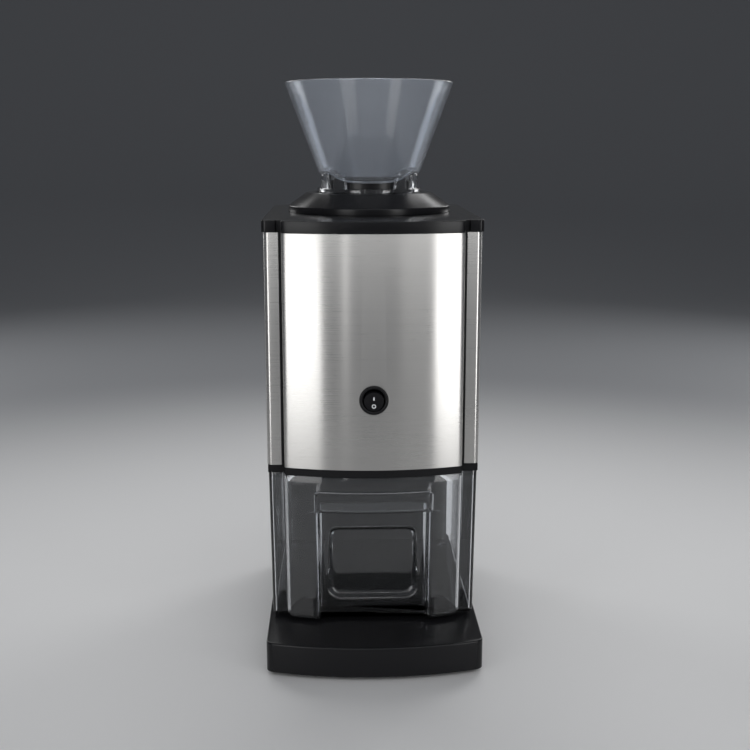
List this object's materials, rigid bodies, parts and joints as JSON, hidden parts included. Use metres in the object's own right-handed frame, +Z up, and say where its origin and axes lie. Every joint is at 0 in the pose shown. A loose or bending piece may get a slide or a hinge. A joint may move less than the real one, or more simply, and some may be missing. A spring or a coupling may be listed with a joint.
{
  "type": "electric ice crusher",
  "caption": "Tall countertop ice crusher: clear funnel hopper on a black collar, brushed-steel housing with a rocker switch, and a clear pull-out ice container on a black base.",
  "frame": {"origin": "on the table under the middle of the whole machine", "axes": "+Z up, -Y out of the front with the switch, +X to the right seen from the front"},
  "size_m": [0.172, 0.272, 0.46],
  "materials": {
    "black_plastic": "satin black moulded plastic with a fine grain",
    "underside_plastic": "matt black moulded plastic",
    "rubber": "soft matt black rubber",
    "zinc_screw": "bright zinc plated screws",
    "brushed_steel": "stainless sheet, brushed across the front",
    "cast_alloy": "die-cast alloy, lightly blasted",
    "blade_steel": "ground stainless steel",
    "grey_plastic": "dark grey moulded plastic",
    "bronze": "sintered bronze and brass",
    "motor_steel": "plain motor steel",
    "gear_plastic": "natural gear plastic",
    "switch_plastic": "gloss black switch plastic with white marks",
    "plunger_plastic": "red switch plunger",
    "clear_plastic": "clear polished moulded plastic"
  },
  "bodies": {
    "housing": {"base_shell": "black_plastic", "base_bottom_plate": "underside_plastic", "rubber_feet": "rubber", "base_screws": "zinc_screw", "rear_column": "black_plastic", "back_cover": "black_plastic", "cord_gland": "rubber", "chassis_tray": "black_plastic", "front_panel": "brushed_steel", "left_side_panel": "brushed_steel", "right_side_panel": "brushed_steel", "top_cover": "black_plastic", "hopper_collar": "black_plastic", "crusher_drum": "cast_alloy", "fixed_blades": "blade_steel", "shaft_seal": "rubber", "ice_chute": "grey_plastic", "gearbox_housing": "cast_alloy", "gearbox_cover": "cast_alloy", "shaft_bushes": "bronze", "idler_axle": "blade_steel", "idler_clip": "zinc_screw", "motor_can": "motor_steel", "motor_end_cap": "motor_steel", "field_stack": "motor_steel", "motor_bushes": "bronze", "motor_screws": "zinc_screw", "drum_screws": "zinc_screw", "switch_housing": "switch_plastic", "switch_terminals": "bronze", "container_interlock": "switch_plastic", "hopper_interlock": "switch_plastic", "case_screws": "zinc_screw"},
    "rotor": {"crusher_shaft": "blade_steel", "rotor_blades": "blade_steel", "rotor_nut": "blade_steel", "output_gear": "gear_plastic"},
    "idler": {"idler_gear": "gear_plastic"},
    "motor_rotor": {"motor_shaft": "blade_steel", "motor_pinion": "bronze", "armature": "motor_steel", "cooling_fan": "grey_plastic"},
    "hopper": {"hopper": "clear_plastic"},
    "container": {"ice_container": "clear_plastic"},
    "rocker": {"switch_rocker": "switch_plastic"},
    "container_button": {"container_plunger": "plunger_plastic"},
    "hopper_button": {"hopper_plunger": "plunger_plastic"}
  },
  "joints": [
    {"name": "rotor_spin", "type": "hinge", "parent": "housing", "child": "rotor", "pos_m": [0, 0.037, 0.27], "axis": [0, 0, 1], "continuous": true},
    {"name": "idler_spin", "type": "hinge", "parent": "housing", "child": "idler", "pos_m": [0.03215, 0.07094, 0.26], "axis": [0, 0, 1], "continuous": true},
    {"name": "motor_spin", "type": "hinge", "parent": "housing", "child": "motor_rotor", "pos_m": [0, 0.082, 0.22], "axis": [0, 0, 1], "continuous": true},
    {"name": "hopper_lift", "type": "slide", "parent": "housing", "child": "hopper", "axis": [0, 0, 1], "range_m": [0, 0.12]},
    {"name": "container_slide", "type": "slide", "parent": "housing", "child": "container", "axis": [0, -1, 0], "range_m": [0, 0.22]},
    {"name": "rocker_tilt", "type": "hinge", "parent": "housing", "child": "rocker", "pos_m": [0, -0.0915, 0.215], "axis": [-1, 0, 0], "range_deg": [0, 18]},
    {"name": "container_button_press", "type": "slide", "parent": "housing", "child": "container_button", "axis": [0, 1, 0], "range_m": [0, 0.0012], "stiffness_N_per_m": 300},
    {"name": "hopper_button_press", "type": "slide", "parent": "housing", "child": "hopper_button", "axis": [1, 0, 0], "range_m": [0, 0.0012], "stiffness_N_per_m": 300}
  ],
  "couplings": [
    {"joint": "idler_spin", "follows": "rotor_spin", "ratio": -4},
    {"joint": "motor_spin", "follows": "rotor_spin", "ratio": 16}
  ]
}
